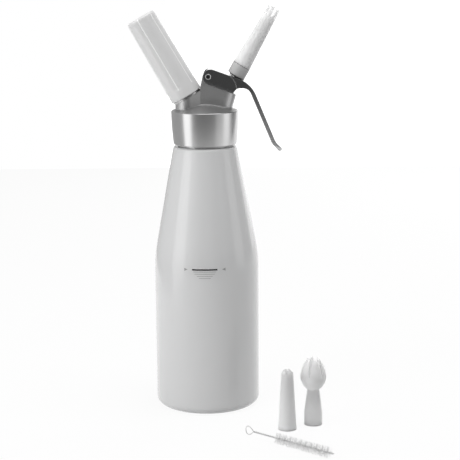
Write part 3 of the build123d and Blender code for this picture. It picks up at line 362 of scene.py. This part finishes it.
head_metal, place = new_finish("turned_and_blasted_aluminium")
x, y, z = axes(place)
tone = blend_colours(noise(place, 0.012, 3.0), grey(0.58), grey(0.64))
grain = noise(place, 0.0005, 2.0)
coat(
    head_metal, Base_Color=tone, Metallic=1.0, Roughness=0.42 + 0.06 * noise(place, 0.004, 3.0),
    Normal=bump_on(soft_edges(place, 0.0007), grain, 0.000008),
)
rings = lathe_marks(place, 0.00018)
turned = place.node("BsdfPrincipled", {
    "Base Color": tone, "Metallic": 1.0, "Roughness": 0.27 + 0.05 * rings,
    "Normal": bump(rings, 0.000003), "Anisotropic": 0.6, "Anisotropic Rotation": 0.25,
})
layer(head_metal, z < SKIRT_RIM, turned)
dress(head_metal, "head_casting")

# The head's gasket, the valve's seal and the inlet's gasket: white silicone, moulded and soft.
silicone, place = new_finish("white_silicone")
dust = noise(place, 0.003, 4.0)
coat(
    silicone, Base_Color=blend_colours(dust, grey(0.74), grey(0.80)), Roughness=0.5 + 0.15 * dust,
    Subsurface_Weight=0.2, Subsurface_Scale=0.002, Normal=bump(noise(place, 0.0006), 0.00002),
)
dress(silicone, "head_gasket", "valve_seal", "inlet_gasket")

# Valve and inlet metalwork: the bonnet, the spindle, the pivot's barrel, the inlet's insert, nut and
# pin and its check valve, all turned from stainless steel.
steel, place = new_finish("turned_steel")
marks = noise(place, 0.0004, 3.0, 0.6)
coat(
    steel, Base_Color=blend_colours(noise(place, 0.006, 3.0), grey(0.52), grey(0.60)), Metallic=1.0,
    Roughness=0.2 + 0.14 * marks, Normal=bump(marks, 0.00001),
)
dress(
    steel, "valve_bonnet", "valve_spindle", "pivot_barrel", "inlet_port", "inlet_nut", "piercing_pin",
    "check_valve",
)

# The pivot's socket screw: steel too, its head polished and its hexagon socket near black as painted
# shade.
PIVOT = (0.003524, 0, 0.313504)
SOCKET_CORNER = 0.00174

polished, place = new_finish("polished_socket_screw")
x, y, z = axes(place.node("VectorMath", {0: place, 1: PIVOT}, operation="SUBTRACT"))
flat = place.node("CombineXYZ", {0: x, 2: z})
across = place.node("VectorMath", {0: flat}, output=1, operation="LENGTH")
marks = noise(place, 0.0003, 2.0)
bright = blend_colours(marks, grey(0.70), grey(0.80))
# Painted shade: within the socket's corner radius the colour is near black, for the depth the socket
# lacks.
coat(
    polished, Base_Color=blend_colours(across < SOCKET_CORNER, bright, grey(0.08)), Metallic=1.0,
    Roughness=0.16 + 0.1 * marks, Normal=soft_edges(place, 0.0003),
)
dress(polished, "pivot_screw")

# The valve's spring and the check valve's, coiled from drawn spring wire.
OUTLET_START = 0.263
INLET_START = 0.266
PORT_TILT = np.radians(30)

wire, place = new_finish("drawn_spring_wire")
streaks = noise(place, 0.0003, 2.0)
coat(
    wire, Base_Color=blend_colours(streaks, grey(0.50, 0.02), grey(0.62, 0.02)), Metallic=1.0,
    Roughness=0.22 + 0.1 * streaks, Normal=bump(streaks, 0.000005),
)


def coil(node):
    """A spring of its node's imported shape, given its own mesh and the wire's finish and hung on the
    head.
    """
    made = bpy.data.objects.new(node + "_coil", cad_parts[node].data.copy())
    bpy.context.scene.collection.objects.link(made)
    made.data.materials.clear()
    made.data.materials.append(wire)
    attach(made, "head")
    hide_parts(node)
    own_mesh(made)


coil("valve_spring")
coil("check_valve_spring")

# The black O-ring in the spindle's groove and the black ring under the adapter: moulded rubber.
rubber, place = new_finish("black_rubber")
bloom = noise(place, 0.002, 4.0)
coat(
    rubber, Base_Color=blend_colours(bloom, grey(0.012), grey(0.03)), Roughness=0.45 + 0.2 * bloom,
    Normal=bump(noise(place, 0.0004), 0.00001),
)
dress(rubber, "spindle_o_ring", "adapter_ring")

# The nozzle adapter: a sleeve of matt anodised aluminium, turned about the outlet's leaning axis.
def on_port(place, start, tilt):
    """Places seen from the start of a port's axis, turned so that this axis is their Z."""
    moved = place.node("VectorMath", {0: place, 1: (0, 0, start)}, operation="SUBTRACT")
    return place.node("VectorRotate", {"Vector": moved, "Angle": -tilt}, rotation_type="Y_AXIS")


anodised, place = new_finish("matt_anodised_aluminium")
rings = lathe_marks(on_port(place, OUTLET_START, PORT_TILT), 0.0002)
coat(
    anodised, Base_Color=blend_colours(rings, grey(0.44), grey(0.50)), Metallic=0.2,
    Roughness=0.55 + 0.08 * rings, Normal=bump_on(soft_edges(place, 0.0004), rings, 0.000005),
)
dress(anodised, "nozzle_adapter")

# The fitted star nozzle and the two spare nozzles, moulded in white plastic that lets a little
# light through.
nozzle_white, place = new_finish("moulded_white_plastic")
flow = noise(place, 0.01, 3.0)
coat(
    nozzle_white, Base_Color=blend_colours(flow, grey(0.83), grey(0.86)), Roughness=0.32 + 0.1 * flow,
    Subsurface_Weight=1.0, Subsurface_Scale=0.009, Subsurface_Radius=(1, 1, 1),
    Normal=bump_on(soft_edges(place, 0.0006), noise(place, 0.0008, 3.0), 0.00001),
)
dress(nozzle_white, "star_nozzle", "straight_nozzle", "tulip_nozzle")

# The lever: cast, then coated in a dark satin metallic finish with a very fine grain. Its colour grows
# lighter along the handle as a painted sheen, standing in for the light its rounded section catches.
LEVER_LIGHTER_FROM = 0.036
LEVER_LIGHTEST_FROM = 0.056

lever_coat, place = new_finish("dark_satin_metal")
grain = noise(place, 0.0004, 2.0, 0.7)
tone = blend_colours(noise(place, 0.008, 3.0), grey(0.22, 0.005), grey(0.26, 0.005))
x, y, z = axes(place)
# Painted sheen: the handle's colour is lightened towards its tip in place of light falling on it.
painted_handle_sheen = x.node("MapRange", {
    "Value": x, "From Min": LEVER_LIGHTER_FROM, "From Max": LEVER_LIGHTEST_FROM,
})
coat(
    lever_coat, Base_Color=blend_colours(painted_handle_sheen, tone, grey(0.5, 0.005)), Metallic=1.0,
    Roughness=0.2 + 0.06 * grain, Coat_Weight=1.0, Coat_Roughness=0.1,
    Normal=bump_on(soft_edges(place, 0.0009), grain, 0.000004),
)
dress(lever_coat, "lever")

# The gas charger: a drawn steel bottle, plated, with the drawing marks round it.
plated, place = new_finish("plated_charger_steel")
rings = lathe_marks(on_port(place, INLET_START, -PORT_TILT), 0.0004)
coat(
    plated, Base_Color=blend_colours(rings, grey(0.54), grey(0.62)), Metallic=1.0,
    Roughness=0.2 + 0.1 * rings, Normal=bump(rings, 0.000008),
)
dress(plated, "gas_charger")

# The charger's holder: a moulded white sleeve, open at the rim and rounded at the closed end. Six
# slightly bulged panels run down it, with a fine raised line in the groove between each two, its
# colour lighter as a painted highlight, and six ribs inside steady the charger.
HOLDER_LOW = 0.0339
HOLDER_TOP = 0.1174
HOLDER_RADIUS = 0.0152
HOLDER_TAPER = 0.0012
HOLDER_END_ROUNDING = 0.0025
HOLDER_RIM_ROUNDING = 0.0005
HOLDER_PANEL_LOW = 0.0425
HOLDER_PANEL_FADE = 0.0015
HOLDER_PANEL_DEPTH = 0.0005
HOLDER_PANEL_TURN = np.radians(-90 - 10.6)
HOLDER_LINE_HEIGHT = 0.00035
HOLDER_LINE_WIDTH = 0.0010
HOLDER_BORE = 0.0122
HOLDER_FLOOR = 0.1134
HOLDER_MOUTH = 0.0113
STUD_TOP = 0.0518
CHARGER_ROOM = 0.00885
HOLDER_RIB_WIDTH = 0.0016
HOLDER_SIDES = 360


def from_port(points, start, tilt):
    """Points given about a port's axis as if it were Z, turned and moved to where the port is."""
    x, y, z = points[..., 0], points[..., 1], points[..., 2]
    return np.stack([
        x * np.cos(tilt) + z * np.sin(tilt), y, start + z * np.cos(tilt) - x * np.sin(tilt),
    ], axis=-1)


turn = np.arange(HOLDER_SIDES) * 2 * np.pi / HOLDER_SIDES
end_radius = HOLDER_RADIUS - HOLDER_TAPER
rim_middle = (HOLDER_RADIUS - HOLDER_RIM_ROUNDING, HOLDER_LOW + HOLDER_RIM_ROUNDING)
end_middle = (end_radius - HOLDER_END_ROUNDING, HOLDER_TOP - HOLDER_END_ROUNDING)
side = np.vstack([
    arc(rim_middle, HOLDER_RIM_ROUNDING, -90, 0, 5),
    line((HOLDER_RADIUS, HOLDER_LOW + 0.001), (end_radius, HOLDER_TOP - HOLDER_END_ROUNDING), 90),
    arc(end_middle, HOLDER_END_ROUNDING, 0, 90, 12)[1:],
])
hollow = np.array([
    (HOLDER_BORE, HOLDER_FLOOR), (HOLDER_BORE, STUD_TOP),
    (HOLDER_MOUTH, STUD_TOP), (HOLDER_MOUTH, HOLDER_LOW),
])
shape = lathe(np.vstack([side, [[0, HOLDER_TOP]], [[0, HOLDER_FLOOR]], hollow]), turn)

# At an angle g from the nearest groove the side is sunk by D (1 - |sin 3g|) and the line rises by
# H exp(-(g R / half its width)^2). Both fade in above the rim by a smooth step.
ridge_gap = (turn - HOLDER_PANEL_TURN + np.pi / 6) % (np.pi / 3) - np.pi / 6
dip = HOLDER_PANEL_DEPTH * (1 - np.abs(np.sin(3 * ridge_gap)))
rise = HOLDER_LINE_HEIGHT * np.exp(-(ridge_gap * HOLDER_RADIUS / (HOLDER_LINE_WIDTH / 2)) ** 2)
climb = np.clip((side[:, 1:] - HOLDER_PANEL_LOW) / HOLDER_PANEL_FADE, 0, 1)
sunk = (dip - rise) * (3 - 2 * climb) * climb ** 2
sunk *= np.clip(side[:, :1] / (end_radius - HOLDER_END_ROUNDING), 0, 1)
shape[:len(side), :, :2] *= (1 - sunk / np.maximum(side[:, :1], 0.001))[:, :, None]

# The ribs are the bore's two rows drawn in to the charger's side.
bore_rows = slice(-4, -2)
ribs = np.abs(ridge_gap) < HOLDER_RIB_WIDTH / 2 / HOLDER_BORE
shape[bore_rows, ribs, :2] *= CHARGER_ROOM / HOLDER_BORE
holder = closed_mesh("holder_panelled", from_port(shape, INLET_START, -PORT_TILT))
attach(holder, "charger_holder")
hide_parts("charger_holder")
holder_white, place = new_finish("white_holder_plastic")
flow = noise(place, 0.014, 3.0)
white = blend_colours(flow, grey(0.62), grey(0.65))
x, y, z = axes(on_port(place, INLET_START, -PORT_TILT))
angle = place.node("Math", {0: y, 1: x}, operation="ARCTAN2")
wave = place.node("Math", {0: 6 * angle - 6 * HOLDER_PANEL_TURN}, operation="COSINE")
# Painted highlight: the raised lines are coloured lighter where the ridge would catch the light.
painted_groove_highlight = (wave > np.cos(3 * HOLDER_LINE_WIDTH / HOLDER_RADIUS)) * (z > HOLDER_PANEL_LOW)
coat(
    holder_white, Base_Color=blend_colours(painted_groove_highlight, white, grey(0.84)), Roughness=0.26 + 0.08 * flow,
    Subsurface_Weight=0.25, Subsurface_Scale=0.003, Subsurface_Radius=(1, 1, 1),
    Normal=bump(noise(place, 0.0008, 3.0), 0.000008),
)
holder.data.materials.append(holder_white)

# Cleaning brush
# One steel wire, bent back on itself to a loop and twisted into a stem. Its two strands grip the
# nylon filaments, which fan out in a screw along the stem.
LOOP_MIDDLE = np.array([0.0384, -0.107, 0.0053])
BRUSH_TURN = np.radians(-41.1)
LOOP_LENGTH = 0.0086
LOOP_HALF_HEIGHT = 0.0036
STRAND_RADIUS = 0.00045
TWIST_PITCH = 0.0040
TWIST_START = 0.0043
BRUSH_REACH = 0.094
BRISTLE_START = 0.031
BRISTLE_END = 0.089
BRISTLE_REACH = 0.0051
BRISTLE_COUNT = 620
BRISTLE_RADIUS = 0.00008
BRISTLE_PITCH = 0.0058
BRISTLE_SCATTER = 0.13
BRISTLE_SLANT = 0.0004
LOOP_ROUNDNESS = 1.3
TWIST_STEPS = 14


def on_brush(points):
    """Points given along the stem, up, and sideways, moved to where the brush lies."""
    along = np.array([np.cos(BRUSH_TURN), np.sin(BRUSH_TURN), 0])
    aside = np.array([np.sin(BRUSH_TURN), -np.cos(BRUSH_TURN), 0])
    up = np.array([0, 0, 1])
    return LOOP_MIDDLE + points[..., :1] * along + points[..., 1:2] * up + points[..., 2:] * aside


def tube(path, radius, sides):
    """A round tube along a path, its ends drawn in to poles.

    Each ring is the path's point plus radius times (cos a n + sin a b), with n square to the path and
    to a nearly constant sideways direction, and b square to both."""
    ahead = np.gradient(path, axis=0)
    ahead /= np.linalg.norm(ahead, axis=1)[:, None]
    lean = np.cross(ahead, np.array([0.0, 0.0, 1.0]))
    lean /= np.linalg.norm(lean, axis=1)[:, None]
    rise = np.cross(lean, ahead)
    angle = np.arange(sides) * 2 * np.pi / sides
    ring = np.cos(angle)[:, None] * lean[:, None] + np.sin(angle)[:, None] * rise[:, None]
    body = path[:, None] + radius * ring
    ends = [np.repeat(path[k][None, None], sides, axis=1) for k in (0, -1)]
    return np.vstack([ends[0], body, ends[1]])


distance = np.arange(TWIST_START, BRUSH_REACH, TWIST_PITCH / TWIST_STEPS)
wind = 2 * np.pi * (distance - TWIST_START) / TWIST_PITCH
strand = np.stack([distance, STRAND_RADIUS * np.cos(wind), STRAND_RADIUS * np.sin(wind)], axis=1)
share = np.linspace(0, 2 * np.pi, 60)[1:-1]
loop_along = TWIST_START - LOOP_LENGTH / 2 * (1 - np.cos(share))
loop_up = LOOP_ROUNDNESS * LOOP_HALF_HEIGHT * np.sin(share) * np.sin(share / 2)
loop_up = loop_up + STRAND_RADIUS * np.cos(share / 2)
loop = np.stack([loop_along, loop_up, 0 * share], axis=1)
path = np.vstack([strand[::-1], loop, strand * (1, -1, -1)])
brush_wire = closed_mesh("brush_twisted_wire", tube(on_brush(path), STRAND_RADIUS, 8), crease=60)
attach(brush_wire, "brush")
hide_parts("brush_wire")
galvanised, place = new_finish("bright_drawn_wire")
streaks = noise(place, 0.0006, 2.0)
coat(
    galvanised, Base_Color=blend_colours(streaks, grey(0.70), grey(0.84)), Metallic=1.0,
    Roughness=0.3 + 0.1 * streaks,
)
brush_wire.data.materials.append(galvanised)

# The bristles: fine translucent nylon, each one held at its middle between the strands.
chance = np.random.default_rng(7)
place_along = np.linspace(BRISTLE_START, BRISTLE_END, BRISTLE_COUNT)
lie = 2 * np.pi * place_along / BRISTLE_PITCH + chance.normal(0, BRISTLE_SCATTER, BRISTLE_COUNT)
reach = BRISTLE_REACH * chance.uniform(0.92, 1.0, BRISTLE_COUNT)
slant = chance.normal(0, BRISTLE_SLANT, BRISTLE_COUNT)
centre = np.stack([place_along, 0 * lie, 0 * lie], axis=1)
arm = np.stack([slant, reach * np.cos(lie), reach * np.sin(lie)], axis=1)
across = np.stack([0 * lie, -np.sin(lie), np.cos(lie)], axis=1) * BRISTLE_RADIUS
forward = np.array([BRISTLE_RADIUS, 0.0, 0.0])
corners = np.stack([
    centre[:, None] + end * arm[:, None] + np.cos(a) * across[:, None] + np.sin(a) * forward
    for end in (-1, 1) for a in (0, 2 * np.pi / 3, 4 * np.pi / 3)
], axis=1).reshape(-1, 3)
prism = [(0, 2, 1), (3, 4, 5), (0, 1, 4, 3), (1, 2, 5, 4), (2, 0, 3, 5)]
mesh = bpy.data.meshes.new("brush_filaments")
faces = [tuple(6 * k + v for v in face) for k in range(BRISTLE_COUNT) for face in prism]
mesh.from_pydata(on_brush(corners).tolist(), [], faces)
tidy = bmesh.new()
tidy.from_mesh(mesh)
bmesh.ops.recalc_face_normals(tidy, faces=tidy.faces)
tidy.to_mesh(mesh)
tidy.free()
bristles = bpy.data.objects.new("brush_filaments", mesh)
bpy.context.scene.collection.objects.link(bristles)
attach(bristles, "brush")
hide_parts("brush_bristles")
nylon, place = new_finish("clear_nylon")
coat(
    nylon, Base_Color=blend_colours(noise(place, 0.004), grey(0.90), grey(0.95)),
    Roughness=0.3 + 0.1 * noise(place, 0.002), Transmission_Weight=0.2,
)
mesh.materials.append(nylon)

# Studio
# A white table that ends a little in front of the object, a white wall behind it to the right, a
# large soft lamp at the left, a weaker one at the right and one above. Three fill lamps lighten the
# shadows without showing in the metal. In front all is dark, so the metal's front reflects dark. The
# camera sees plain white wherever nothing stands.
CAMERA_PLACE = (0.0224, -1.317, 0.427)
CAMERA_PITCH = 11.15
CAMERA_ROLL = -0.5
CAMERA_FOCAL_PIXELS = 1417
RENDER_PIXELS = 460
LAMP_AIM = (0, 0, 0.2)
AMBIENT_LEVEL = 0.46
FLOOR_FRONT = -0.66
FLOOR_GLOW_SHARE = 0.9
ROOM_BACK = 1.5
SCREEN_DISTANCE = 2.2
SCREEN_HALF_ANGLE = 38

camera = bpy.data.objects.new("camera", bpy.data.cameras.new("camera"))
bpy.context.scene.collection.objects.link(camera)
camera.data.sensor_width = 36
camera.data.lens = CAMERA_FOCAL_PIXELS / RENDER_PIXELS * camera.data.sensor_width
camera.location = CAMERA_PLACE
upright = Euler((np.radians(90 - CAMERA_PITCH), 0, 0)).to_matrix()
roll = Euler((0, 0, np.radians(CAMERA_ROLL))).to_matrix()
camera.rotation_euler = (upright @ roll).to_euler()
bpy.context.scene.camera = camera
bpy.context.scene.view_settings.view_transform = "Standard"


def lamp(name, place, size, power):
    """A rectangular soft lamp that faces the bottle's middle. Gives its object."""
    light = bpy.data.lights.new(name, "AREA")
    light.shape = "RECTANGLE"
    light.size, light.size_y = size
    light.energy = power
    made = bpy.data.objects.new(name, light)
    made.location = place
    made.rotation_euler = (Vector(LAMP_AIM) - made.location).to_track_quat("-Z", "Y").to_euler()
    bpy.context.scene.collection.objects.link(made)
    return made


lamp("lamp_left", (-0.89, -0.45, 0.3), (0.55, 1.3), 2.8)
lamp("lamp_right", (1.08, -0.19, 0.3), (0.5, 1.2), 1.5)
lamp("lamp_top", (0.2, 0, 1.6), (1.2, 1.2), 3)
lamp("fill_left", (-0.95, -0.9, 0.6), (1.0, 1.0), 10).visible_glossy = False
lamp("fill_top", (0.3, -0.1, 1.7), (0.6, 0.6), 12).visible_glossy = False
lamp("fill_back", (0.8, 1.2, 0.6), (0.8, 0.8), 6).visible_glossy = False


def light_path(tree, *kinds):
    """1 for rays of any of these kinds, 0 for the others."""
    path = tree.nodes.new("ShaderNodeLightPath")
    seen = Shade(tree, path.outputs[kinds[0]])
    for kind in kinds[1:]:
        seen = seen + Shade(tree, path.outputs[kind])
    return seen


def sheet(name, corners):
    """A flat sheet through four corners."""
    mesh = bpy.data.meshes.new(name)
    mesh.from_pydata(corners, [], [(0, 1, 2, 3)])
    made = bpy.data.objects.new(name, mesh)
    bpy.context.scene.collection.objects.link(made)
    return made


world = bpy.data.worlds.new("white_studio")
bpy.context.scene.world = world
world.use_nodes = True
tree = world.node_tree
ambient = tree.nodes["Background"]
ambient.inputs["Color"].default_value = (1, 1, 1, 1)
seen = light_path(tree, "Is Camera Ray", "Is Transmission Ray")
level = AMBIENT_LEVEL + seen * (1 - AMBIENT_LEVEL)
tree.links.new(level.socket, ambient.inputs["Strength"])

floor = sheet("floor", [
    (-0.5, FLOOR_FRONT, 0), (1.3, FLOOR_FRONT, 0), (1.3, ROOM_BACK, 0), (-0.5, ROOM_BACK, 0),
])
floor_white, place = new_finish("white_floor")
coat(floor_white, Base_Color=grey(0.5), Roughness=0.9)
seen = light_path(floor_white.node_tree, "Is Camera Ray", "Is Glossy Ray", "Is Transmission Ray")
glow = place.node("Emission", {"Color": (1, 1, 1, 1), "Strength": 1.03})
layer(floor_white, seen * FLOOR_GLOW_SHARE, glow)
floor.data.materials.append(floor_white)

wall = sheet("white_wall", [
    (-0.1, ROOM_BACK, -0.3), (2.0, ROOM_BACK, -0.3), (2.0, ROOM_BACK, 0.8), (-0.1, ROOM_BACK, 0.8),
])
wall_white, place = new_finish("lit_white_wall")
layer(wall_white, 1.0, place.node("Emission", {"Color": (1, 1, 1, 1), "Strength": 1.4}))
wall.data.materials.append(wall_white)

corners = [(1, -1.2), (1, 2.2), (1.01, 2.2), (1.01, -1.2)]
screen = closed_mesh("dark_screen", SCREEN_DISTANCE * np.array([
    [(np.sin(a) * share, -np.cos(a) * share, height / SCREEN_DISTANCE) for share, height in corners]
    for a in np.radians(np.linspace(-SCREEN_HALF_ANGLE, SCREEN_HALF_ANGLE, 20))
]))
screen_dark, place = new_finish("dark_cloth")
coat(screen_dark, Base_Color=grey(0.24), Roughness=0.9)
screen.data.materials.append(screen_dark)
screen.visible_camera = False
